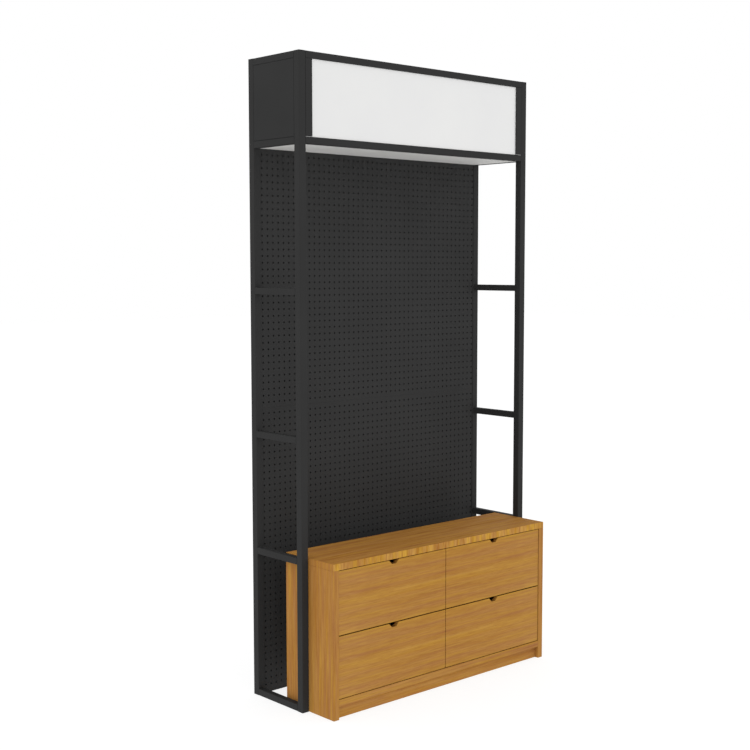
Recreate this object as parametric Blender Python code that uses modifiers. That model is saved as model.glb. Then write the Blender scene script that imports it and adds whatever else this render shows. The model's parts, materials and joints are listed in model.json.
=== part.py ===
"""Shop display bay: a tube frame with a perforated back, a sign header and a cabinet with four drawers.

Metres, +Z up. The origin is on the floor, in the middle of the whole footprint, and -Y is the front.
"""

from math import radians

import bmesh
import bpy

OBJECT_NAME = "display_bay"

# Frame of square tubes
FRAME_WIDTH = 1.200
FRAME_DEPTH = 0.300
FRAME_HEIGHT = 2.395
POST_SIZE = 0.030
RAIL_SIZE = 0.025
TUBE_WALL = 0.0015
TUBE_CORNER = 0.002
LOWER_RAIL_TOP = 1.020

# Perforated back of two stacked sheets, and the plain sheets that close the frame behind them
PEGBOARD_THICKNESS = 0.0015
PEGBOARD_JOINT_HEIGHT = 1.1035
BACK_SHEET_THICKNESS = 0.0012
BACK_SHEET_INSET = 0.004

# Header box with its sign
HEADER_HEIGHT = 0.325
STILE_WIDTH = 0.030
STILE_THICKNESS = 0.005
SIGN_THICKNESS = 0.003
SIGN_LIP_THICKNESS = 0.0007
HEADER_SIDE_THICKNESS = 0.003
HEADER_SIDE_INSET = 0.0005
HEADER_SIDE_GAP = 0.0008
SOFFIT_THICKNESS = 0.006
SOFFIT_INSET = 0.001
HEADER_TOP_THICKNESS = 0.003
HEADER_TOP_INSET = 0.001

# Cabinet carcass
CABINET_HEIGHT = 0.575
CABINET_DEPTH = 0.275
CABINET_PROJECTION = 0.142
CABINET_SIDE_GAP = 0.0005
BOARD_THICKNESS = 0.025
PARTITION_THICKNESS = 0.018
BACK_THICKNESS = 0.006
PLINTH_HEIGHT = 0.0485
PLINTH_RECESS = 0.017
PLINTH_THICKNESS = 0.018

# Drawer fronts and the gaps round them
FRONT_THICKNESS = 0.018
FRONT_RECESS = 0.003
FRONT_ROW_GAP = 0.0043
FRONT_COLUMN_GAP = 0.0033
FRONT_SIDE_GAP = 0.0024
FRONT_TOP_GAP = 0.0031
FRONT_FOOT_GAP = 0.0022
LOWER_FRONT_HEIGHT = 0.2305
NOTCH_MOUTH_WIDTH = 0.050
NOTCH_FLOOR_WIDTH = 0.022
NOTCH_DEPTH = 0.015

# Drawer boxes and the strips that they run on
BOX_WALL = 0.012
BOX_SIDE_GAP = 0.002
BOX_REAR_GAP = 0.012
BOX_FOOT_RISE = 0.010
BOX_TOP_DROP = 0.050
DRAWER_BOTTOM_THICKNESS = 0.006
DRAWER_BOTTOM_RISE = 0.010
DRAWER_BOTTOM_GRIP = 0.005
RUNNER_HEIGHT = 0.012
RUNNER_GRIP = 0.005
INNER_SETBACK = 0.001

# Clearance between pieces that touch, and how far a cutter reaches past what it cuts
FIT_GAP = 0.0003
CUT_MARGIN = 0.010

# Rounding of the tubes' corners
TUBE_CORNER_STEPS = 2
ROUND_PROFILE = 0.5
SHARP_ANGLE = radians(40)

# Places worked out from the sizes above
HALF_WIDTH = FRAME_WIDTH / 2
POST_INNER = HALF_WIDTH - POST_SIZE
BAY_HALF = POST_INNER - FIT_GAP
BAY_X = (-BAY_HALF, BAY_HALF)
FRAME_FRONT = (CABINET_PROJECTION - FRAME_DEPTH) / 2
FRAME_BACK = FRAME_FRONT + FRAME_DEPTH
SIDE_RAIL_X = (HALF_WIDTH - RAIL_SIZE, HALF_WIDTH)
SIDE_RAIL_Y = (FRAME_FRONT + POST_SIZE + FIT_GAP, FRAME_BACK - POST_SIZE - FIT_GAP)
FRONT_RAIL_Y = (FRAME_FRONT, FRAME_FRONT + RAIL_SIZE)
REAR_RAIL_Y = (FRAME_BACK - RAIL_SIZE, FRAME_BACK)
HEADER_BOTTOM = FRAME_HEIGHT - HEADER_HEIGHT
UPPER_RAIL_TOP = (LOWER_RAIL_TOP + HEADER_BOTTOM + RAIL_SIZE) / 2
HEADER_OPENING_Z = (HEADER_BOTTOM + RAIL_SIZE + FIT_GAP, FRAME_HEIGHT - RAIL_SIZE - FIT_GAP)
MIDDLE_RAIL_TOP = PEGBOARD_JOINT_HEIGHT + RAIL_SIZE / 2
PEGBOARD_BACK = REAR_RAIL_Y[0] - FIT_GAP
PEGBOARD_FRONT = PEGBOARD_BACK - PEGBOARD_THICKNESS
CABINET_HALF = POST_INNER - CABINET_SIDE_GAP
CABINET_FRONT = FRAME_FRONT - CABINET_PROJECTION
CABINET_BACK = CABINET_FRONT + CABINET_DEPTH
CARCASS_INNER = CABINET_HALF - BOARD_THICKNESS
CARCASS_X = (-CARCASS_INNER + FIT_GAP, CARCASS_INNER - FIT_GAP)
CABINET_TOP_UNDERSIDE = CABINET_HEIGHT - BOARD_THICKNESS
CABINET_FLOOR = PLINTH_HEIGHT + BOARD_THICKNESS
CABINET_BACK_INNER = CABINET_BACK - BACK_THICKNESS
FRONT_Y = (CABINET_FRONT + FRONT_RECESS, CABINET_FRONT + FRONT_RECESS + FRONT_THICKNESS)
BOX_Y = (FRONT_Y[1] + FIT_GAP, CABINET_BACK_INNER - BOX_REAR_GAP)
INNER_Y = (FRONT_Y[1] + INNER_SETBACK, CABINET_BACK_INNER - FIT_GAP)

# Left is -X, seen from the front
SIDES = {"left": -1, "right": 1}


def remove_everything():
    """Empty the scene."""
    for old in list(bpy.data.objects):
        bpy.data.objects.remove(old, do_unlink=True)


def new_collection(name):
    """Make a collection in the scene."""
    group = bpy.data.collections.new(name)
    bpy.context.scene.collection.children.link(group)
    return group


def new_material(name, colour, roughness):
    """Make a Principled material of one colour."""
    material = bpy.data.materials.new(name)
    material.use_nodes = True
    shader = material.node_tree.nodes["Principled BSDF"]
    shader.inputs["Base Color"].default_value = (*colour, 1.0)
    shader.inputs["Roughness"].default_value = roughness
    shader.inputs["Metallic"].default_value = 0.0
    return material


remove_everything()
parts = new_collection(OBJECT_NAME)
helpers = new_collection(OBJECT_NAME + "_helpers")

powder_coat = new_material("black_powder_coat", (0.036, 0.036, 0.037), 0.5)
pegboard_coat = new_material("black_pegboard_coat", (0.028, 0.028, 0.029), 0.55)
sign_acrylic = new_material("white_acrylic", (0.79, 0.79, 0.79), 0.3)
soffit_white = new_material("white_soffit", (0.70, 0.70, 0.69), 0.5)
veneer = new_material("teak_veneer", (0.434, 0.216, 0.050), 0.45)
plywood = new_material("birch_plywood", (0.60, 0.45, 0.28), 0.6)
hardboard = new_material("brown_hardboard", (0.22, 0.12, 0.055), 0.65)
hardwood = new_material("beech_strip", (0.50, 0.31, 0.16), 0.5)


def length(span):
    """Give the length of a (low, high) range."""
    return span[1] - span[0]


def middle(span):
    """Give the middle of a (low, high) range."""
    return (span[0] + span[1]) / 2


def mirrored(span, side):
    """Put a range of the right half on either side."""
    return span if side > 0 else (-span[1], -span[0])


def widened(span, amount):
    """Give a range that is longer by this amount at each end."""
    return (span[0] - amount, span[1] + amount)


def block(size):
    """Start a bmesh with a block of this size around the origin."""
    bm = bmesh.new()
    bmesh.ops.create_cube(bm, size=1.0)
    bmesh.ops.scale(bm, vec=size, verts=bm.verts)
    return bm


def add_object(name, bm, spans, group, parent=None):
    """Turn a bmesh into an object in the middle of the ranges x, y and z."""
    mesh = bpy.data.meshes.new(name)
    bm.to_mesh(mesh)
    bm.free()
    piece = bpy.data.objects.new(name, mesh)
    group.objects.link(piece)
    place = [middle(span) for span in spans]
    if parent:
        piece.parent = parent
        place = [here - there for here, there in zip(place, parent.location)]
    piece.location = place
    return piece


def add_board(name, x, y, z, material, parent=None):
    """Add a flat board that fills the ranges x, y and z."""
    spans = (x, y, z)
    piece = add_object(name, block([length(span) for span in spans]), spans, parts, parent)
    piece.data.materials.append(material)
    return piece


def add_tube(name, x, y, z, axis, capped=False):
    """Add a square tube along axis 0, 1 or 2, open at both ends or closed at its upper end."""
    spans = (x, y, z)
    size = [length(span) for span in spans]
    bm = block(size)
    corners = [edge for edge in bm.edges if edge.calc_length() > size[axis] - TUBE_WALL]
    bmesh.ops.bevel(bm, geom=corners, offset=TUBE_CORNER, offset_type="OFFSET", affect="EDGES",
                    segments=TUBE_CORNER_STEPS, profile=ROUND_PROFILE)
    bm.normal_update()
    ends = [face for face in bm.faces if round(abs(face.normal[axis])) == 1]
    if capped:
        ends = [face for face in ends if face.normal[axis] < 0]
    bmesh.ops.delete(bm, geom=ends, context="FACES")
    piece = add_object(name, bm, spans, parts)
    piece.data.shade_smooth()
    piece.data.set_sharp_from_angle(angle=SHARP_ANGLE)
    piece.data.materials.append(powder_coat)
    # The wall grows inwards from the outer skin
    wall = piece.modifiers.new("wall", "SOLIDIFY")
    wall.thickness = TUBE_WALL
    wall.offset = -1.0
    wall.use_even_offset = True
    return piece


def hide_helper(helper):
    """Show a shape that only cuts or extends a piece as wires."""
    helper.hide_render = True
    helper.display_type = "WIRE"
    return helper


def add_helper(name, x, y, z, parent=None):
    """Add a block that cuts or extends a piece and fills the ranges x, y and z."""
    spans = (x, y, z)
    return hide_helper(add_object(name, block([length(span) for span in spans]), spans, helpers, parent))


def combine(piece, other, operation):
    """Join another shape to a piece, or take it out of it."""
    boolean = piece.modifiers.new(other.name, "BOOLEAN")
    boolean.operation = operation
    boolean.solver = "EXACT"
    boolean.object = other


def cut(piece, cutter):
    """Take the cutter's shape out of a piece."""
    combine(piece, cutter, "DIFFERENCE")


def join(piece, addition):
    """Make an addition part of a piece."""
    combine(piece, addition, "UNION")


def add_posts():
    """Add the four posts, closed at the top and open at the floor."""
    rows = {"front": (FRAME_FRONT, FRAME_FRONT + POST_SIZE), "rear": (FRAME_BACK - POST_SIZE, FRAME_BACK)}
    for row, y in rows.items():
        for side, sign in SIDES.items():
            x = mirrored((POST_INNER, HALF_WIDTH), sign)
            add_tube(f"{row}_{side}_post", x, y, (0.0, FRAME_HEIGHT), axis=2, capped=True)


def add_rails():
    """Add the side, front and rear rails between the posts."""
    header_tops = {"header_bottom": HEADER_BOTTOM + RAIL_SIZE, "header_top": FRAME_HEIGHT}
    side_tops = {"floor": RAIL_SIZE, "cabinet": CABINET_HEIGHT, "lower": LOWER_RAIL_TOP,
                 "upper": UPPER_RAIL_TOP, **header_tops}
    rear_tops = {"floor": RAIL_SIZE, "middle": MIDDLE_RAIL_TOP, **header_tops}
    for level, top in side_tops.items():
        for side, sign in SIDES.items():
            x = mirrored(SIDE_RAIL_X, sign)
            add_tube(f"{side}_{level}_rail", x, SIDE_RAIL_Y, (top - RAIL_SIZE, top), axis=1)
    for level, top in header_tops.items():
        add_tube(f"front_{level}_rail", BAY_X, FRONT_RAIL_Y, (top - RAIL_SIZE, top), axis=0)
    for level, top in rear_tops.items():
        add_tube(f"rear_{level}_rail", BAY_X, REAR_RAIL_Y, (top - RAIL_SIZE, top), axis=0)


def add_pegboards():
    """Add the two back sheets, which meet in front of the middle rear rail."""
    y = (PEGBOARD_FRONT, PEGBOARD_BACK)
    lower_z = (RAIL_SIZE / 2, PEGBOARD_JOINT_HEIGHT - FIT_GAP / 2)
    upper_z = (PEGBOARD_JOINT_HEIGHT + FIT_GAP / 2, FRAME_HEIGHT - RAIL_SIZE / 2)
    add_board("lower_pegboard", BAY_X, y, lower_z, pegboard_coat)
    add_board("upper_pegboard", BAY_X, y, upper_z, pegboard_coat)


def add_back_sheets():
    """Add the plain sheets between the rear rails, which leave room for hooks behind the pegboards."""
    y = (FRAME_BACK - BACK_SHEET_INSET - BACK_SHEET_THICKNESS, FRAME_BACK - BACK_SHEET_INSET)
    lower_z = (RAIL_SIZE + FIT_GAP, MIDDLE_RAIL_TOP - RAIL_SIZE - FIT_GAP)
    upper_z = (MIDDLE_RAIL_TOP + FIT_GAP, HEADER_BOTTOM - FIT_GAP)
    add_board("lower_back_sheet", BAY_X, y, lower_z, powder_coat)
    add_board("upper_back_sheet", BAY_X, y, upper_z, powder_coat)


def add_sign():
    """Add the sign panel, whose lip lies on the lower rail, and the stiles that stand on the lip."""
    stile_y = (FRAME_FRONT, FRAME_FRONT + STILE_THICKNESS)
    sign_y = (stile_y[1] + FIT_GAP, stile_y[1] + FIT_GAP + SIGN_THICKNESS)
    lip_z = (HEADER_OPENING_Z[0], HEADER_OPENING_Z[0] + SIGN_LIP_THICKNESS)
    stile_z = (lip_z[1] + FIT_GAP, HEADER_OPENING_Z[1])
    panel = add_board("sign_panel", BAY_X, sign_y, HEADER_OPENING_Z, sign_acrylic)
    join(panel, add_helper("sign_lip", BAY_X, (stile_y[0], sign_y[1]), lip_z))
    for side, sign in SIDES.items():
        x = mirrored((POST_INNER - STILE_WIDTH, BAY_HALF), sign)
        add_board(f"{side}_sign_stile", x, stile_y, stile_z, powder_coat)


def add_header_panels():
    """Add the sides, the soffit and the top of the header box."""
    side_x = (HALF_WIDTH - HEADER_SIDE_INSET - HEADER_SIDE_THICKNESS, HALF_WIDTH - HEADER_SIDE_INSET)
    side_y = widened(SIDE_RAIL_Y, FIT_GAP - HEADER_SIDE_GAP)
    side_z = widened(HEADER_OPENING_Z, FIT_GAP - HEADER_SIDE_GAP)
    for side, sign in SIDES.items():
        add_board(f"{side}_header_panel", mirrored(side_x, sign), side_y, side_z, powder_coat)

    inner_x = (-SIDE_RAIL_X[0] + FIT_GAP, SIDE_RAIL_X[0] - FIT_GAP)
    inner_y = (FRONT_RAIL_Y[1] + FIT_GAP, PEGBOARD_FRONT - FIT_GAP)
    soffit_z = (HEADER_BOTTOM + SOFFIT_INSET, HEADER_BOTTOM + SOFFIT_INSET + SOFFIT_THICKNESS)
    top_z = (FRAME_HEIGHT - HEADER_TOP_INSET - HEADER_TOP_THICKNESS, FRAME_HEIGHT - HEADER_TOP_INSET)
    soffit = add_board("header_soffit", inner_x, inner_y, soffit_z, soffit_white)
    top = add_board("header_top_panel", inner_x, inner_y, top_z, powder_coat)

    post_x = (BAY_HALF, HALF_WIDTH + CUT_MARGIN)
    post_rows = {"front": (FRAME_FRONT - CUT_MARGIN, SIDE_RAIL_Y[0]), "rear": (SIDE_RAIL_Y[1], FRAME_BACK)}
    post_z = (HEADER_BOTTOM - CUT_MARGIN, FRAME_HEIGHT + CUT_MARGIN)
    for row, y in post_rows.items():
        for side, sign in SIDES.items():
            corner = add_helper(f"{row}_{side}_post_cutter", mirrored(post_x, sign), y, post_z)
            cut(soffit, corner)
            cut(top, corner)


def add_carcass():
    """Add the cabinet boards: the top lies over the sides, and the rest stands between them."""
    depth = (CABINET_FRONT, CABINET_BACK)
    inner_z = (CABINET_FLOOR + FIT_GAP, CABINET_TOP_UNDERSIDE - FIT_GAP)
    plinth_front = CABINET_FRONT + PLINTH_RECESS
    side_x = (CARCASS_INNER, CABINET_HALF)
    side_z = (0.0, CABINET_TOP_UNDERSIDE - FIT_GAP)
    for side, sign in SIDES.items():
        add_board(f"cabinet_{side}_side", mirrored(side_x, sign), depth, side_z, veneer)
    top_z = (CABINET_TOP_UNDERSIDE, CABINET_HEIGHT)
    add_board("cabinet_top", (-CABINET_HALF, CABINET_HALF), depth, top_z, veneer)
    add_board("cabinet_bottom", CARCASS_X, depth, (PLINTH_HEIGHT, CABINET_FLOOR), veneer)
    add_board("cabinet_plinth", CARCASS_X, (plinth_front, plinth_front + PLINTH_THICKNESS),
              (0.0, PLINTH_HEIGHT - FIT_GAP), veneer)
    add_board("cabinet_back", CARCASS_X, (CABINET_BACK_INNER, CABINET_BACK), inner_z, hardboard)
    partition_x = (-PARTITION_THICKNESS / 2, PARTITION_THICKNESS / 2)
    add_board("cabinet_partition", partition_x, INNER_Y, inner_z, veneer)


def add_slide_empty(name, x, y, z):
    """Add the empty that a drawer slides with, in the middle of the drawer box."""
    empty = bpy.data.objects.new(name, None)
    parts.objects.link(empty)
    empty.location = [middle(span) for span in (x, y, z)]
    return empty


def add_notch_cutter(name, x, z_top, parent):
    """Add the wedge that cuts a finger notch into the top edge of a drawer front."""
    spans = (x, FRONT_Y, (z_top - NOTCH_DEPTH, z_top + NOTCH_DEPTH))
    bm = block((NOTCH_FLOOR_WIDTH, FRONT_THICKNESS + 2 * CUT_MARGIN, 2 * NOTCH_DEPTH))
    flare = 2 * NOTCH_MOUTH_WIDTH / NOTCH_FLOOR_WIDTH - 1
    upper = [vert for vert in bm.verts if vert.co.z > 0]
    bmesh.ops.scale(bm, vec=(flare, 1.0, 1.0), verts=upper)
    return hide_helper(add_object(name, bm, spans, helpers, parent))


def add_drawer(name, sign, front_z):
    """Add one drawer, with its front, box, bottom and the two runners it hangs on."""
    front_x = mirrored((FRONT_COLUMN_GAP / 2, CARCASS_INNER - FRONT_SIDE_GAP), sign)
    bay_x = mirrored((PARTITION_THICKNESS / 2, CARCASS_INNER), sign)
    box_x = widened(bay_x, -BOX_SIDE_GAP)
    box_z = (front_z[0] + BOX_FOOT_RISE, front_z[1] - BOX_TOP_DROP)
    runner_z = (middle(box_z) - RUNNER_HEIGHT / 2, middle(box_z) + RUNNER_HEIGHT / 2)
    slide = add_slide_empty(f"{name}_slide", box_x, BOX_Y, box_z)

    front = add_board(f"{name}_front", front_x, FRONT_Y, front_z, veneer, slide)
    cut(front, add_notch_cutter(f"{name}_notch_cutter", front_x, front_z[1], slide))

    box = add_board(f"{name}_box", box_x, BOX_Y, box_z, plywood, slide)
    inside_x = widened(box_x, -BOX_WALL)
    inside_y = widened(BOX_Y, -BOX_WALL)
    cut(box, add_helper(f"{name}_inside_cutter", inside_x, inside_y, widened(box_z, CUT_MARGIN), slide))

    bottom_z = (box_z[0] + DRAWER_BOTTOM_RISE, box_z[0] + DRAWER_BOTTOM_RISE + DRAWER_BOTTOM_THICKNESS)
    bottom_x = widened(inside_x, DRAWER_BOTTOM_GRIP)
    bottom_y = widened(inside_y, DRAWER_BOTTOM_GRIP)
    add_board(f"{name}_bottom", bottom_x, bottom_y, bottom_z, hardboard, slide)
    slot = (widened(bottom_x, FIT_GAP), widened(bottom_y, FIT_GAP), widened(bottom_z, FIT_GAP))
    cut(box, add_helper(f"{name}_bottom_slot_cutter", *slot, slide))

    groove_y = widened(BOX_Y, CUT_MARGIN)
    groove_z = widened(runner_z, FIT_GAP)
    grip_x = widened(box_x, -RUNNER_GRIP)
    groove_x = widened(grip_x, -FIT_GAP)
    outer_x = widened(box_x, CUT_MARGIN)
    seat_x = widened(bay_x, -FIT_GAP)
    for end, side in enumerate(("left", "right")):
        cut_x = sorted((outer_x[end], groove_x[end]))
        runner_x = sorted((seat_x[end], grip_x[end]))
        cut(box, add_helper(f"{name}_{side}_groove_cutter", cut_x, groove_y, groove_z, slide))
        add_board(f"{name}_{side}_runner", runner_x, INNER_Y, runner_z, hardwood)


def add_drawers():
    """Add two rows of two drawers."""
    lower_foot = CABINET_FLOOR + FRONT_FOOT_GAP
    lower_z = (lower_foot, lower_foot + LOWER_FRONT_HEIGHT)
    upper_z = (lower_z[1] + FRONT_ROW_GAP, CABINET_TOP_UNDERSIDE - FRONT_TOP_GAP)
    for row, front_z in (("lower", lower_z), ("upper", upper_z)):
        for side, sign in SIDES.items():
            add_drawer(f"{row}_{side}_drawer", sign, front_z)


add_posts()
add_rails()
add_pegboards()
add_back_sheets()
add_sign()
add_header_panels()
add_carcass()
add_drawers()
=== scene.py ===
"""Looks of a shop display bay: finishes, perforated back, fasteners, floor, light and camera.

Metres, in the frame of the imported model: +Z is up and -Y is the front. The CAD nodes stay where they are
and get finishes and softened edges. The two perforated sheets are rebuilt here, because their holes are
too many for the solids.
"""

import json
from math import cos, pi, radians, sin

import bmesh
import bpy
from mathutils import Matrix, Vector

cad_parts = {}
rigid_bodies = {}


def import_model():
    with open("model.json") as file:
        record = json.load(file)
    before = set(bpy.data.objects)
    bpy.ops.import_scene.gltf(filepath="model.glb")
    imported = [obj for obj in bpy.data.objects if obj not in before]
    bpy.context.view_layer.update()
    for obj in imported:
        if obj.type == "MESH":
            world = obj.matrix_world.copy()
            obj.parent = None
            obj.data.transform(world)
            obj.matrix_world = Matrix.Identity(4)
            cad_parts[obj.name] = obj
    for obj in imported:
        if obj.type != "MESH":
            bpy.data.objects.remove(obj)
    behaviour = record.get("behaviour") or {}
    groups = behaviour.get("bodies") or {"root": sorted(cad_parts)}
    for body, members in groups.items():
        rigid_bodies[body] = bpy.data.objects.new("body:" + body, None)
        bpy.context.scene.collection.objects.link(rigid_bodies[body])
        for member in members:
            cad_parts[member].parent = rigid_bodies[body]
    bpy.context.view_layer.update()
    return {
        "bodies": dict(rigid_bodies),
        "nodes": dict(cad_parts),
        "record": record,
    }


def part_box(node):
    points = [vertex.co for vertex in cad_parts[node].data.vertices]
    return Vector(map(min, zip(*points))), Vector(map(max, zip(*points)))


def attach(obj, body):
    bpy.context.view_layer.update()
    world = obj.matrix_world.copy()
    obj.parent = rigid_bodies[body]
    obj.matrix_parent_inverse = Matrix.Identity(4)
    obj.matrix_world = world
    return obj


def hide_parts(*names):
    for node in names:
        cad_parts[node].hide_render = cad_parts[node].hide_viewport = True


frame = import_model()
nodes = frame["nodes"]
slot_of = {part["node"]: part["material_slot"] for part in frame["record"]["subparts"]}

# Camera, as solved on the lattice of holes in the square photograph: pixels, metres and degrees
PHOTO_SIZE = 750
FOCAL_PIXELS = 1272.12
PRINCIPAL_POINT = (389.87, 377.14)
CAMERA_PLACE = (-3.4303, -3.6518, 1.6362)
CAMERA_TURN = -42.41
CAMERA_TILT = 4.98

# Width of the camera's sensor, in millimetres
SENSOR_WIDTH = 36.0

# Floor and light
FLOOR_SIZE = 60.0
FLOOR_GLOW = 0.82
FLOOR_SHADED = 0.24
SKY_COLOUR = (1.0, 1.0, 1.0, 1.0)
SKY_STRENGTH = 1.0

# Perforated back; a hole's ring of points starts an eighth of a turn back, towards a corner of its cell
PEG_PITCH = 0.025
PEG_COLUMNS = 46
PEG_ROWS = {"lower": 43, "upper": 38}
PEG_JOINT_MARGIN = 0.0208
PEG_HOLE_DIAMETER = 0.0070
PEG_HOLE_SIDES = 12
PEG_HOLE_START = -1 / 8
CELL_SIDES = 4

# Softened edges
WELD_DISTANCE = 0.00001
SHARP_ANGLE = radians(50)
BEVEL_ANGLE = radians(40)
BEVEL_STEPS = 2
BOARD_EDGE = 0.0004
SHEET_EDGE = 0.0003

# Noise: its whole range, its middle and the range that it mostly keeps to; height of fine relief
WHOLE_RANGE = (0.0, 1.0)
NOISE_MIDDLE = 0.5
NOISE_RANGE = (0.3, 0.7)
RELIEF_HEIGHT = 0.0002

# Axes by number, and how much of a face's direction lies along an axis when it faces up or mostly along it
X_AXIS = 0
Z_AXIS = 2
FACES_UP = 0.9
FACES_ALONG = 0.5

# Tones from dark to light, and the colour of flecks
FRAME_COAT = ("323232", "353535")
PEGBOARD_COAT = ("343434", "383838")
ACRYLIC = ("E6E6E6", "E9E9E8")
SOFFIT = ("D9D9D7", "DEDEDC")
PLYWOOD = ("C9AE84", "DDC59D")
PLYWOOD_FLECK = "A98555"
HARDBOARD = ("6B4A2E", "805C3B", "987149")
BEECH = ("B98F63", "CFA67A")
BEECH_FLECK = "8A5F3A"
BLACK_PLATING = ("1C1C1C", "2A2A2A")
ZINC_PLATING = ("9A9A96", "B8B8B4")

# Shares of the noises in a tone, and how far from the middle of the noise hardboard's outer tones lie
COAT_WEIGHTS = (0.65, 0.35)
HARDBOARD_WEIGHTS = (0.4, 0.6)
HARDBOARD_SPREAD = 0.15

# Plywood edges: thickness of a ply, depths between which its tone changes, and tones of the two kinds of ply
PLY = 0.0017
PLY_CHANGE = (0.0007, 0.0010)
PALE_PLY = "D6BC90"
BROWN_PLY = "9A7548"

# Veneer tones from dark to light: boards and drawer fronts; sides and plinth, a slightly darker copy that is
# painted shade for the lesser light falling on them; top; edges of the top
TEAK = ("A06B36", "AD7C3C", "BB8C40")
SHADED_TEAK = ("9F6A34", "AC793B", "B9893D")
TEAK_TOP = ("9E6934", "AD7A3C", "BB8A40")
TEAK_EDGE = ("A67031", "B8873E", "CD9D49")

# Veneer: how far from the middle of the noise the outer tones lie, and the two tints of its streaks
FACE_SPREAD = 0.14
TOP_SPREAD = 0.16
EDGE_SPREAD = 0.11
FOOT_SPREAD = 0.15
HUE_SPREAD = 0.18
EDGE_HUE_SPREAD = 0.10

# Veneer tints: golden and rosy streaks, and painted shade on a drawer front's up-facing faces (its upper edge
# in the gap above it, and the floor of its notch)
GOLDEN_TINT = (1.03, 1.04, 0.78, 1.0)
ROSE_TINT = (0.97, 0.95, 1.25, 1.0)
GAP_SHADE_TINT = (0.57, 0.54, 0.62, 1.0)

# Veneer figure: each layer's stretch along the grain, scale per metre and detail
SLOW_CHANGES = (4.0, 5.0, 1.0)
BANDS = (16.0, 16.0, 2.0)
LINES = (22.0, 55.0, 2.0)
THREADS = (22.0, 140.0, 2.0)
FLECKS = (7.0, 170.0, 1.0)
TONE_LAYERS = (SLOW_CHANGES, BANDS, LINES, THREADS, FLECKS)
HUE_STREAKS = (22.0, 75.0, 2.0)
FIBRES = (60.0, 420.0, 2.0)
PORES = (30.0, 900.0, 1.0)

# Weight of each tone layer on boards, the top, its edges and drawer fronts, and the fronts' range of hue
BOARD_WEIGHTS = (0.19, 0.19, 0.35, 0.37, 0.12)
TOP_WEIGHTS = (0.04, 0.08, 0.44, 0.58, 0.16)
EDGE_WEIGHTS = (0.10, 0.32, 0.08, 0.26, 0.30)
FRONT_WEIGHTS = (0.06, 0.06, 0.11, 0.26, 0.16)
FRONT_HUE = (0.2, 0.8)

# Veneer surface: shade and height of fibres, range, share and colour of pores, sheen of boards and top
FIBRE_SHADE = (0.93, 1.06)
FIBRE_HEIGHT = 0.5
PORE_RANGE = (0.62, 0.72)
PORE_SHARE = 0.30
PORE_COLOUR = "7A4A1C"
VENEER_SHEEN = 0.06
TOP_SHEEN = 0.02

# Slow bend of the grain: waves per metre across and along it, and their size; scale of the top's edges
BEND_ACROSS = 9.0
BEND_ALONG = 2.5
BEND_SIZE = 0.005
EDGE_SCALE = 0.7

# Long streaks of a drawer front's veneer leaf, downwards: place on the leaf, and golden (1) or rosy (-1)
LEAF_WIDTH = 0.116
LEAF_STREAKS = ((0.00, 1.0), (0.07, 0.4), (0.24, 0.1), (0.38, -0.4), (0.55, 0.0),
                (0.66, 0.3), (0.75, -0.7), (0.83, -0.2), (0.92, 0.2), (1.00, 1.0))
LEAF_TONE = 0.06
LEAF_HUE = 0.12
LEAF_TONE_FADE = 0.10
LEAF_HUE_FADE = 0.19

# Screws: head radius, head height, socket radius and socket depth
REAR_SCREW = (0.0040, 0.0009, 0.0018, 0.0006)
DRAWER_SCREW = (0.0038, 0.0020, 0.0016, 0.0012)
SCREW_SIDES = 16

# Outline of a screw head as shares of its radius and height, and share of the socket's radius at its floor
HEAD_OUTLINE = ((1.0, 0.0), (1.0, 0.4), (0.8, 0.85), (0.55, 1.0))
SOCKET_TAPER = 0.9

# Places of screws: from the edges of a rear sheet, and on a drawer's front wall from its ends, foot and rim
REAR_SCREW_INSET = 0.014
REAR_SCREW_SPACES = 4
DRAWER_WALL = 0.012
DRAWER_SCREW_INSET = 0.060
DRAWER_SCREW_LOW = 0.040
DRAWER_SCREW_HIGH = 0.030


def srgb(code):
    """Turn a colour code such as "B0803F" into linear red, green, blue and alpha."""
    values = [int(code[place:place + 2], 16) / 255 for place in (0, 2, 4)]
    linear = [value / 12.92 if value <= 0.04045 else ((value + 0.055) / 1.055) ** 2.4 for value in values]
    return (*linear, 1.0)


def about_middle(spread):
    """Give the two ends of a range about the middle of noise."""
    return (NOISE_MIDDLE - spread, NOISE_MIDDLE + spread)


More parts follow.
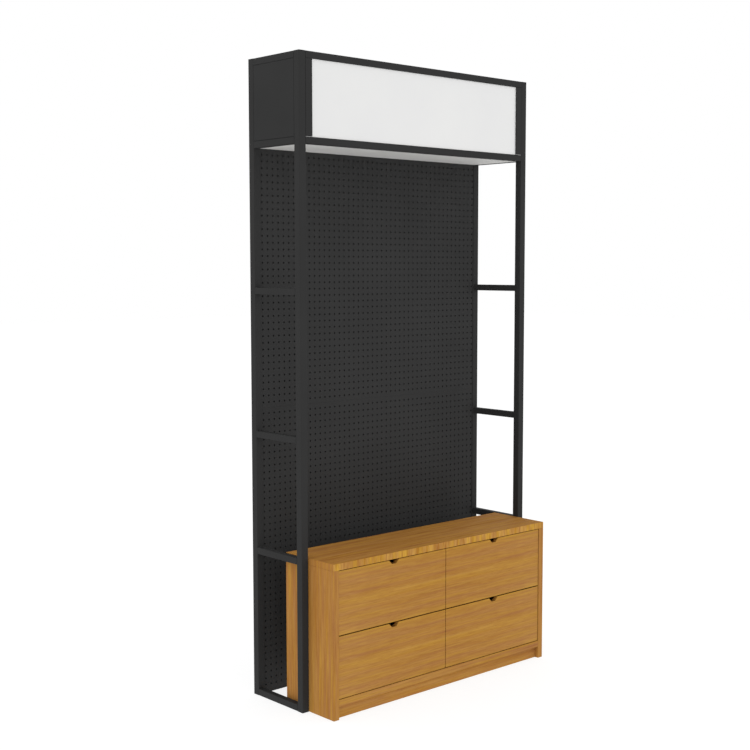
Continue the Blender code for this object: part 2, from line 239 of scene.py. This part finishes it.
class Graph:
    """A material's node tree, with short calls for the nodes that the finishes share."""

    def __init__(self, name):
        self.material = bpy.data.materials.new(name)
        self.material.use_nodes = True
        self.tree = self.material.node_tree
        self.shader = self.tree.nodes["Principled BSDF"]

    def feed(self, socket, value):
        """Link a socket to another one, or set its value."""
        if isinstance(value, bpy.types.NodeSocket):
            self.tree.links.new(value, socket)
        else:
            socket.default_value = value

    def add(self, kind, inputs, **settings):
        """Add a node with these settings and inputs."""
        node = self.tree.nodes.new(kind)
        for name, value in settings.items():
            setattr(node, name, value)
        for key, value in inputs.items():
            self.feed(node.inputs[key], value)
        return node

    def finish(self, **inputs):
        """Feed the shader, with its sockets' names in lower case, and give the material."""
        for name, value in inputs.items():
            self.feed(self.shader.inputs[name.replace("_", " ").title().replace("Ior", "IOR")], value)
        return self.material

    def place(self):
        """Give the place on the object, in metres, which moves with it."""
        return self.add("ShaderNodeTexCoord", {}).outputs["Object"]

    def normal(self):
        """Give the direction that the surface faces, which moves with the object."""
        return self.add("ShaderNodeTexCoord", {}).outputs["Normal"]

    def stretch(self, vector, scale, shift=(0.0, 0.0, 0.0)):
        """Scale and shift a place."""
        inputs = {"Vector": vector, "Location": shift, "Scale": scale}
        return self.add("ShaderNodeMapping", inputs).outputs["Vector"]

    def noise(self, vector, scale, detail=2.0, roughness=0.5, distortion=0.0):
        """Give noise from 0 to 1."""
        inputs = {"Vector": vector, "Scale": scale, "Detail": detail, "Roughness": roughness,
                  "Distortion": distortion}
        return self.add("ShaderNodeTexNoise", inputs).outputs["Fac"]

    def math(self, operation, first, second=0.0):
        """Give a sum or another operation on two values."""
        return self.add("ShaderNodeMath", {0: first, 1: second}, operation=operation).outputs[0]

    def weigh(self, pairs):
        """Give the sum of values times their weights."""
        total = 0.0
        for value, weight in pairs:
            total = self.add("ShaderNodeMath", {0: value, 1: weight, 2: total},
                             operation="MULTIPLY_ADD").outputs[0]
        return total

    def span(self, value, source, target=WHOLE_RANGE):
        """Move a value from one range to another, and keep it inside."""
        inputs = {"Value": value, "From Min": source[0], "From Max": source[1],
                  "To Min": target[0], "To Max": target[1]}
        return self.add("ShaderNodeMapRange", inputs).outputs["Result"]

    def ramp(self, value, stops):
        """Give the colour at a value, from (position, colour) stops."""
        node = self.add("ShaderNodeValToRGB", {"Fac": value})
        elements = node.color_ramp.elements
        while len(elements) < len(stops):
            elements.new(1.0)
        for element, (position, colour) in zip(elements, stops):
            element.position = position
            element.color = colour
        return node.outputs["Color"]

    def shades(self, value, codes, ends=NOISE_RANGE):
        """Give the colour at a value, from colour codes at even steps between two ends."""
        step = (ends[1] - ends[0]) / (len(codes) - 1)
        return self.ramp(value, [(ends[0] + place * step, srgb(code)) for place, code in enumerate(codes)])

    def mix(self, share, first, second, blend="MIX"):
        """Mix two colours."""
        return self.add("ShaderNodeMix", {0: share, 6: first, 7: second}, data_type="RGBA",
                        blend_type=blend).outputs[2]

    def split(self, vector):
        """Give the x, y and z of a vector."""
        return self.add("ShaderNodeSeparateXYZ", {"Vector": vector}).outputs

    def grey(self, value):
        """Give a grey of a value."""
        return self.add("ShaderNodeCombineColor", {0: value, 1: value, 2: value}).outputs[0]

    def bump(self, height, strength, distance=RELIEF_HEIGHT):
        """Give a normal that follows a height."""
        inputs = {"Height": height, "Strength": strength, "Distance": distance}
        return self.add("ShaderNodeBump", inputs).outputs["Normal"]


def make_coat(name, tones, texture):
    """Powder coat: near-black grey with a fine pebbled skin and faint, broad changes of tone."""
    graph = Graph(name)
    place = graph.place()
    broad = graph.noise(place, scale=3.5, detail=3.0)
    skin = graph.noise(place, scale=1400.0, detail=1.0)
    pebble = graph.noise(place, scale=420.0)
    tone = graph.weigh(zip((broad, pebble), COAT_WEIGHTS))
    return graph.finish(base_color=graph.shades(tone, tones),
                        roughness=graph.span(tone, NOISE_RANGE, (0.66, 0.54)),
                        normal=graph.bump(graph.math("ADD", skin, pebble), strength=texture),
                        specular_ior_level=0.04)


def make_acrylic(name):
    """White acrylic sheet, bare, with a soft sheen and faint clouds."""
    graph = Graph(name)
    place = graph.place()
    clouds = graph.noise(place, scale=4.0, detail=3.0)
    fine = graph.noise(place, scale=900.0, detail=1.0)
    return graph.finish(base_color=graph.shades(clouds, ACRYLIC),
                        roughness=graph.span(clouds, NOISE_RANGE, (0.30, 0.38)),
                        normal=graph.bump(fine, strength=0.03, distance=RELIEF_HEIGHT / 2),
                        specular_ior_level=0.3)


def make_soffit(name):
    """Matt white panel with a faint rolled texture."""
    graph = Graph(name)
    place = graph.place()
    clouds = graph.noise(place, scale=6.0, detail=3.0)
    rolled = graph.noise(place, scale=500.0)
    return graph.finish(base_color=graph.shades(clouds, SOFFIT),
                        roughness=graph.span(clouds, NOISE_RANGE, (0.55, 0.65)),
                        normal=graph.bump(rolled, strength=0.08), specular_ior_level=0.08)


def leaf_streaks(graph, place, grain, across):
    """Give the tone and the hue of the long streaks that each leaf of veneer repeats, both about zero."""
    axes = graph.split(place)
    on_leaf = graph.math("FRACT", graph.math("MULTIPLY", axes[across], -1.0 / LEAF_WIDTH))
    stops = [(spot, (0.5 + gold / 2,) * 3 + (1.0,)) for spot, gold in LEAF_STREAKS]
    gold = graph.span(graph.ramp(on_leaf, stops), WHOLE_RANGE, (-1.0, 1.0))
    tone = graph.weigh([(gold, LEAF_TONE), (axes[grain], -LEAF_TONE_FADE)])
    hue = graph.weigh([(gold, -LEAF_HUE), (axes[grain], -LEAF_HUE_FADE)])
    return tone, hue


def wood_figure(graph, place, grain, spread, tones, across=None, weights=BOARD_WEIGHTS,
                hue_spread=HUE_SPREAD):
    """Give the colour, the tone and the height of straight-grained veneer with streaks along one axis."""
    def layer(stretch, scale, detail):
        slim = [1.0, 1.0, 1.0]
        slim[grain] = 1.0 / stretch
        return graph.noise(graph.stretch(place, slim), scale, detail)

    layers = [layer(*sizes) for sizes in TONE_LAYERS]
    hue = layer(*HUE_STREAKS)
    tone = graph.weigh(zip(layers, weights))
    if across is not None:
        leaf_tone, leaf_hue = leaf_streaks(graph, place, grain, across)
        tone = graph.math("ADD", tone, leaf_tone)
        hue = graph.math("ADD", graph.span(hue, WHOLE_RANGE, FRONT_HUE), leaf_hue)
    tone = graph.math("ADD", tone, (1.0 - sum(weights)) * NOISE_MIDDLE)
    colour = graph.shades(tone, tones, about_middle(spread))
    tint = graph.ramp(hue, list(zip(about_middle(hue_spread), (GOLDEN_TINT, ROSE_TINT))))
    colour = graph.mix(1.0, colour, tint, "MULTIPLY")
    fibres = layer(*FIBRES)
    shade = graph.span(fibres, NOISE_RANGE, FIBRE_SHADE)
    colour = graph.mix(1.0, colour, graph.grey(shade), "MULTIPLY")
    pits = graph.span(layer(*PORES), PORE_RANGE)
    colour = graph.mix(graph.math("MULTIPLY", pits, PORE_SHARE), colour, srgb(PORE_COLOUR))
    height = graph.math("SUBTRACT", graph.math("MULTIPLY", fibres, FIBRE_HEIGHT), pits)
    return colour, tone, height


def bent_place(graph, place, box, grain, flip):
    """Give a place from the middle of a board, mirrored for a matched pair, with a slow bend of the grain."""
    middle = (box[0] + box[1]) / 2
    here = graph.stretch(place, (flip, 1.0, 1.0), (-flip * middle.x, -middle.y, -middle.z))
    waves = [BEND_ACROSS, BEND_ACROSS, BEND_ACROSS]
    waves[grain] = BEND_ALONG
    wander = graph.noise(graph.stretch(here, waves), scale=1.0, detail=1.0)
    drift = graph.math("MULTIPLY", graph.math("SUBTRACT", wander, NOISE_MIDDLE), BEND_SIZE)
    return graph.add("ShaderNodeVectorMath", {0: here, 1: drift}, operation="ADD").outputs[0]


def veneer_finish(graph, colour, tone, height, sheen=VENEER_SHEEN):
    """Give veneer its sheen and its open pores."""
    return graph.finish(base_color=colour, roughness=graph.span(tone, NOISE_RANGE, (0.72, 0.62)),
                        normal=graph.bump(height, strength=0.12), specular_ior_level=sheen)


def make_veneer(name, box, grain, flip, spread, tones, across=None):
    """Teak-coloured veneer with streaks along one axis; a drawer front's up-facing faces get painted shade.
    """
    graph = Graph(name)
    place = bent_place(graph, graph.place(), box, grain, flip)
    weights = BOARD_WEIGHTS if across is None else FRONT_WEIGHTS
    colour, tone, height = wood_figure(graph, place, grain, spread, tones, across, weights)
    if across is not None:
        # Painted shade: a drawer front's up-facing faces are darkened as if lying in the shaded gap above it
        painted_gap_shade = graph.math("GREATER_THAN", graph.split(graph.normal())["Z"], FACES_UP)
        colour = graph.mix(painted_gap_shade, colour, GAP_SHADE_TINT, "MULTIPLY")
    return veneer_finish(graph, colour, tone, height)


def make_top_veneer(name, box, side_box):
    """Veneer of the cabinet top: upright streaks on its edges, and ends that carry on those of the sides."""
    graph = Graph(name)
    place = graph.place()
    bent = bent_place(graph, place, box, X_AXIS, 1.0)
    colour, tone, height = wood_figure(graph, bent, X_AXIS, TOP_SPREAD, TEAK_TOP, weights=TOP_WEIGHTS)
    coarse = graph.stretch(bent, (EDGE_SCALE, 1.0, 1.0))
    edge_colour = wood_figure(graph, coarse, Z_AXIS, EDGE_SPREAD, TEAK_EDGE, weights=EDGE_WEIGHTS,
                              hue_spread=EDGE_HUE_SPREAD)[0]
    x, y, z = graph.split(place)
    mirrored = graph.math("MULTIPLY", graph.math("ABSOLUTE", x), -1.0)
    beside = graph.add("ShaderNodeCombineXYZ", {"X": mirrored, "Y": y, "Z": z}).outputs[0]
    bent_beside = bent_place(graph, beside, side_box, Z_AXIS, 1.0)
    # The top's ends take the sides' darker teak, which is painted shade
    end_colour = wood_figure(graph, bent_beside, Z_AXIS, FACE_SPREAD, SHADED_TEAK)[0]
    facing = graph.split(graph.normal())
    to_front = graph.math("ABSOLUTE", facing["Y"])
    to_side = graph.math("ABSOLUTE", facing["X"])
    colour = graph.mix(graph.math("GREATER_THAN", to_front, FACES_ALONG), colour, edge_colour)
    colour = graph.mix(graph.math("GREATER_THAN", to_side, FACES_ALONG), colour, end_colour)
    return veneer_finish(graph, colour, tone, height, TOP_SHEEN)


def make_plywood(name, box):
    """Birch plywood of a drawer box: pale faces, and plies on the edges that face up or down."""
    graph = Graph(name)
    place = graph.place()
    x, y, _ = graph.split(place)
    middle = (box[0] + box[1]) / 2
    half = (box[1] - box[0]) / 2
    depth_x = graph.math("SUBTRACT", half.x, graph.math("ABSOLUTE", graph.math("SUBTRACT", x, middle.x)))
    depth_y = graph.math("SUBTRACT", half.y, graph.math("ABSOLUTE", graph.math("SUBTRACT", y, middle.y)))
    depth = graph.math("MINIMUM", depth_x, depth_y)
    plies = graph.span(graph.math("PINGPONG", depth, PLY), PLY_CHANGE)
    upright = graph.math("ABSOLUTE", graph.split(graph.normal())["Z"])
    edge = graph.math("GREATER_THAN", upright, FACES_ALONG)

    streaks = graph.stretch(place, scale=(3.0, 3.0, 40.0))
    figure = graph.noise(streaks, scale=3.0, detail=4.0, distortion=0.5)
    flecks = graph.noise(graph.stretch(place, scale=(1.0, 1.0, 14.0)), scale=70.0, detail=1.0)
    face = graph.shades(figure, PLYWOOD)
    face = graph.mix(graph.span(flecks, source=(0.55, 0.75), target=(0.0, 0.25)), face, srgb(PLYWOOD_FLECK))
    layers = graph.mix(plies, srgb(PALE_PLY), srgb(BROWN_PLY))
    return graph.finish(base_color=graph.mix(edge, face, layers),
                        roughness=graph.span(figure, NOISE_RANGE, (0.62, 0.5)),
                        normal=graph.bump(flecks, strength=0.08), specular_ior_level=0.35)


def make_hardboard(name):
    """Smooth brown hardboard with pressed fibres."""
    graph = Graph(name)
    place = graph.place()
    clouds = graph.noise(place, scale=12.0, detail=4.0)
    fibres = graph.noise(place, scale=260.0, detail=3.0, roughness=0.7, distortion=1.5)
    tone = graph.weigh(zip((clouds, fibres), HARDBOARD_WEIGHTS))
    ends = about_middle(HARDBOARD_SPREAD)
    return graph.finish(base_color=graph.shades(tone, HARDBOARD, ends),
                        roughness=graph.span(tone, ends, (0.7, 0.55)),
                        normal=graph.bump(fibres, strength=0.1), specular_ior_level=0.3)


def make_beech(name):
    """Waxed beech strip with fine lengthwise flecks."""
    graph = Graph(name)
    place = graph.place()
    figure = graph.noise(graph.stretch(place, scale=(30.0, 2.0, 30.0)), scale=3.0, detail=3.0)
    flecks = graph.noise(graph.stretch(place, scale=(60.0, 8.0, 60.0)), scale=12.0, detail=1.0)
    colour = graph.shades(figure, BEECH)
    colour = graph.mix(graph.span(flecks, source=(0.58, 0.72), target=(0.0, 0.5)), colour, srgb(BEECH_FLECK))
    return graph.finish(base_color=colour, roughness=graph.span(figure, NOISE_RANGE, (0.5, 0.4)),
                        normal=graph.bump(flecks, strength=0.1), specular_ior_level=0.35)


def make_plating(name, tones):
    """Plated steel of a screw head, a little cloudy."""
    graph = Graph(name)
    clouds = graph.noise(graph.place(), scale=350.0)
    return graph.finish(base_color=graph.shades(clouds, tones),
                        roughness=graph.span(clouds, NOISE_RANGE, (0.42, 0.3)), metallic=0.9)


def make_camera():
    """Place the camera where the photograph was taken from."""
    data = bpy.data.cameras.new("camera")
    data.sensor_width = SENSOR_WIDTH
    data.lens = FOCAL_PIXELS / PHOTO_SIZE * SENSOR_WIDTH
    data.shift_x = 0.5 - PRINCIPAL_POINT[0] / PHOTO_SIZE
    data.shift_y = PRINCIPAL_POINT[1] / PHOTO_SIZE - 0.5
    camera = bpy.data.objects.new("camera", data)
    camera.location = CAMERA_PLACE
    camera.rotation_euler = (radians(90 - CAMERA_TILT), 0.0, radians(CAMERA_TURN))
    bpy.context.scene.collection.objects.link(camera)
    bpy.context.scene.camera = camera


def make_floor_finish(name):
    """White that keeps the object's shadow, and lets the even light from below reach the object."""
    graph = Graph(name)
    path = graph.add("ShaderNodeLightPath", {}).outputs
    seen = graph.math("MAXIMUM", path["Is Camera Ray"],
                      graph.math("MAXIMUM", path["Is Glossy Ray"], path["Is Transmission Ray"]))
    clear = graph.add("ShaderNodeBsdfTransparent", {}).outputs[0]
    shaded = graph.add("ShaderNodeBsdfDiffuse", {"Color": (FLOOR_SHADED,) * 3 + (1.0,)}).outputs[0]
    glow = graph.add("ShaderNodeEmission", {"Strength": FLOOR_GLOW}).outputs[0]
    white = graph.add("ShaderNodeAddShader", {0: shaded, 1: glow}).outputs[0]
    surface = graph.add("ShaderNodeMixShader", {0: seen, 1: clear, 2: white}).outputs[0]
    graph.feed(graph.tree.nodes["Material Output"].inputs["Surface"], surface)
    graph.material.cycles.emission_sampling = "NONE"
    return graph.material


def make_floor():
    """Add the wide floor that the object stands on."""
    bm = bmesh.new()
    bmesh.ops.create_grid(bm, x_segments=2, y_segments=2, size=FLOOR_SIZE / 2)
    mesh = bpy.data.meshes.new("floor")
    bm.to_mesh(mesh)
    bm.free()
    floor = bpy.data.objects.new("floor", mesh)
    bpy.context.scene.collection.objects.link(floor)
    mesh.materials.append(make_floor_finish("pale_floor"))


def make_light():
    """Light the object evenly from all round, as in a white studio."""
    world = bpy.data.worlds.new("studio")
    world.use_nodes = True
    background = world.node_tree.nodes["Background"]
    background.inputs["Color"].default_value = SKY_COLOUR
    background.inputs["Strength"].default_value = SKY_STRENGTH
    bpy.context.scene.world = world
    bpy.context.scene.view_settings.view_transform = "Standard"


def add_piece(name, bm, body, material):
    """Turn a bmesh into a piece that rides on a body."""
    mesh = bpy.data.meshes.new(name)
    bm.to_mesh(mesh)
    bm.free()
    mesh.materials.append(material)
    piece = bpy.data.objects.new(name, mesh)
    bpy.context.scene.collection.objects.link(piece)
    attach(piece, body)
    return piece


def cell_edges(low, high, centres):
    """Give the borders of the cells round hole centres, from one edge of a sheet to the other."""
    between = [(first + second) / 2 for first, second in zip(centres, centres[1:])]
    return [low, *between, high]


def add_perforated_sheet(row, material):
    """Rebuild one back sheet with its lattice of punched holes."""
    node = f"{row}_pegboard"
    low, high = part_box(node)
    columns = [(place - (PEG_COLUMNS - 1) / 2) * PEG_PITCH for place in range(PEG_COLUMNS)]
    steps = [place * PEG_PITCH for place in range(PEG_ROWS[row])]
    if row == "lower":
        rows = [high.z - PEG_JOINT_MARGIN - step for step in reversed(steps)]
    else:
        rows = [low.z + PEG_JOINT_MARGIN + step for step in steps]

    arc_steps = PEG_HOLE_SIDES // CELL_SIDES
    turns = [(place / PEG_HOLE_SIDES + PEG_HOLE_START) * 2 * pi for place in range(PEG_HOLE_SIDES)]
    ring = [(PEG_HOLE_DIAMETER / 2 * cos(turn), PEG_HOLE_DIAMETER / 2 * sin(turn)) for turn in turns]
    bm = bmesh.new()
    x_edges = cell_edges(low.x, high.x, columns)
    z_edges = cell_edges(low.z, high.z, rows)
    corners = [[bm.verts.new((x, low.y, z)) for z in z_edges] for x in x_edges]
    for i, x in enumerate(columns):
        for j, z in enumerate(rows):
            hole = [bm.verts.new((x + right, low.y, z + up)) for right, up in ring]
            around = [corners[i + 1][j], corners[i + 1][j + 1], corners[i][j + 1], corners[i][j]]
            for side in range(CELL_SIDES):
                arc = [hole[(side * arc_steps + step) % PEG_HOLE_SIDES] for step in range(arc_steps + 1)]
                bm.faces.new([around[side], around[(side + 1) % CELL_SIDES], *reversed(arc)])
    sheet = add_piece(f"{row}_perforated_sheet", bm, "frame", material)
    wall = sheet.modifiers.new("thickness", "SOLIDIFY")
    wall.thickness = high.y - low.y
    wall.offset = -1.0
    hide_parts(node)


def add_screws(name, body, material, sizes, places):
    """Add button-head screws at places, with their heads towards +Y."""
    radius, height, socket, depth = sizes
    profile = [(radius * wide, height * rise) for wide, rise in HEAD_OUTLINE]
    profile += [(socket, height), (socket * SOCKET_TAPER, height - depth)]
    turns = [step / SCREW_SIDES * 2 * pi for step in range(SCREW_SIDES)]
    bm = bmesh.new()
    for place in places:
        loops = [[bm.verts.new(place + Vector((ring * cos(turn), rise, ring * sin(turn)))) for turn in turns]
                 for ring, rise in profile]
        for outer, inner in zip(loops, loops[1:]):
            for step in range(SCREW_SIDES):
                after = (step + 1) % SCREW_SIDES
                bm.faces.new((outer[step], outer[after], inner[after], inner[step]))
        bm.faces.new(loops[-1])
        bm.faces.new(loops[0])
    bmesh.ops.recalc_face_normals(bm, faces=bm.faces)
    add_piece(name, bm, body, material)


def smoothing_group():
    """Make the node group that shades faces smooth and keeps edges over an angle sharp."""
    group = bpy.data.node_groups.new("smooth_by_angle", "GeometryNodeTree")
    group.interface.new_socket("Geometry", in_out="INPUT", socket_type="NodeSocketGeometry")
    group.interface.new_socket("Geometry", in_out="OUTPUT", socket_type="NodeSocketGeometry")
    start = group.nodes.new("NodeGroupInput")
    end = group.nodes.new("NodeGroupOutput")
    faces = group.nodes.new("GeometryNodeSetShadeSmooth")
    edges = group.nodes.new("GeometryNodeSetShadeSmooth")
    edges.domain = "EDGE"
    angle = group.nodes.new("GeometryNodeInputMeshEdgeAngle")
    below = group.nodes.new("FunctionNodeCompare")
    below.operation = "LESS_THAN"
    below.inputs["B"].default_value = SHARP_ANGLE
    group.links.new(start.outputs[0], faces.inputs["Geometry"])
    group.links.new(faces.outputs["Geometry"], edges.inputs["Geometry"])
    group.links.new(angle.outputs["Unsigned Angle"], below.inputs["A"])
    group.links.new(below.outputs["Result"], edges.inputs["Shade Smooth"])
    group.links.new(edges.outputs["Geometry"], end.inputs[0])
    return group


def soften(piece, group, edge_width):
    """Round a piece's sharp edges a little, unless the width is 0, and shade its round ones smooth."""
    weld = piece.modifiers.new("weld", "WELD")
    weld.merge_threshold = WELD_DISTANCE
    if edge_width:
        bevel = piece.modifiers.new("soft_edges", "BEVEL")
        bevel.width = edge_width
        bevel.segments = BEVEL_STEPS
        bevel.limit_method = "ANGLE"
        bevel.angle_limit = BEVEL_ANGLE
    piece.modifiers.new("smooth", "NODES").node_group = group
    weighted = piece.modifiers.new("flat_faces", "WEIGHTED_NORMAL")
    weighted.keep_sharp = True


def dress(name, material):
    """Give a CAD node its finish."""
    piece = nodes[name]
    piece.data.materials.clear()
    piece.data.materials.append(material)


def dress_frame(group):
    """Finish the tube frame, the sheets and the header."""
    coat = make_coat("frame_coat", FRAME_COAT, texture=0.12)
    sheet_coat = make_coat("pegboard_coat", PEGBOARD_COAT, texture=0.10)
    acrylic = make_acrylic("white_acrylic")
    white = make_soffit("white_soffit")
    finishes = {"frame_coat": coat, "sign_acrylic": acrylic, "soffit_white": white}
    for name, slot in slot_of.items():
        if slot in finishes:
            dress(name, finishes[slot])
            soften(nodes[name], group, 0.0 if name.endswith(("rail", "post")) else SHEET_EDGE)
    for row in PEG_ROWS:
        add_perforated_sheet(row, sheet_coat)


def dress_cabinet(group):
    """Finish the cabinet boards, the drawers and their runners."""
    hardboard = make_hardboard("brown_hardboard")
    beech = make_beech("waxed_beech")
    upright = ("cabinet_left_side", "cabinet_right_side", "cabinet_partition")
    foot = ("cabinet_plinth", "cabinet_bottom")
    # Sides and plinth take the darker copy of the teak, which is painted shade
    tones = {"cabinet_plinth": SHADED_TEAK, "cabinet_left_side": SHADED_TEAK, "cabinet_right_side": SHADED_TEAK}
    for name, slot in slot_of.items():
        if slot == "veneer":
            grain = Z_AXIS if name in upright else X_AXIS
            flip = -1.0 if "right" in name or name in foot else 1.0
            spread = FOOT_SPREAD if name in foot else FACE_SPREAD
            across = Z_AXIS if name.endswith("front") else None
            if name == "cabinet_top":
                finish = make_top_veneer(f"veneer_{name}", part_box(name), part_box("cabinet_left_side"))
            else:
                finish = make_veneer(f"veneer_{name}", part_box(name), grain, flip, spread,
                                     tones.get(name, TEAK), across)
            dress(name, finish)
        elif slot == "plywood":
            dress(name, make_plywood(f"plywood_{name}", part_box(name)))
        elif slot == "hardboard":
            dress(name, hardboard)
        elif slot == "hardwood":
            dress(name, beech)
        else:
            continue
        soften(nodes[name], group, BOARD_EDGE if slot == "veneer" else SHEET_EDGE)


def screw_row(low, high):
    """Give evenly spaced places from one edge of a rear sheet to the other."""
    reach = high - low - 2 * REAR_SCREW_INSET
    shares = [step / REAR_SCREW_SPACES for step in range(REAR_SCREW_SPACES + 1)]
    return [low + REAR_SCREW_INSET + share * reach for share in shares]


def add_rear_screws():
    """Add the screws round the edges of the rear sheets."""
    black = make_plating("black_plating", BLACK_PLATING)
    for row in PEG_ROWS:
        low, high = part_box(f"{row}_back_sheet")
        across = screw_row(low.x, high.x)
        up = screw_row(low.z, high.z)
        places = [Vector((x, high.y, z)) for x in across for z in (up[0], up[-1])]
        places += [Vector((x, high.y, z)) for x in (across[0], across[-1]) for z in up[1:-1]]
        add_screws(f"{row}_back_sheet_screws", "frame", black, REAR_SCREW, places)


def add_drawer_screws():
    """Add the screws inside each drawer that hold its front."""
    zinc = make_plating("zinc_plating", ZINC_PLATING)
    for body in frame["bodies"]:
        if not body.endswith("drawer"):
            continue
        low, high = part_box(f"{body}_box")
        across = (low.x + DRAWER_SCREW_INSET, high.x - DRAWER_SCREW_INSET)
        up = (low.z + DRAWER_SCREW_LOW, high.z - DRAWER_SCREW_HIGH)
        places = [Vector((x, low.y + DRAWER_WALL, z)) for x in across for z in up]
        add_screws(f"{body}_screws", body, zinc, DRAWER_SCREW, places)


make_camera()
make_floor()
make_light()
smooth = smoothing_group()
dress_frame(smooth)
dress_cabinet(smooth)
add_rear_screws()
add_drawer_screws()
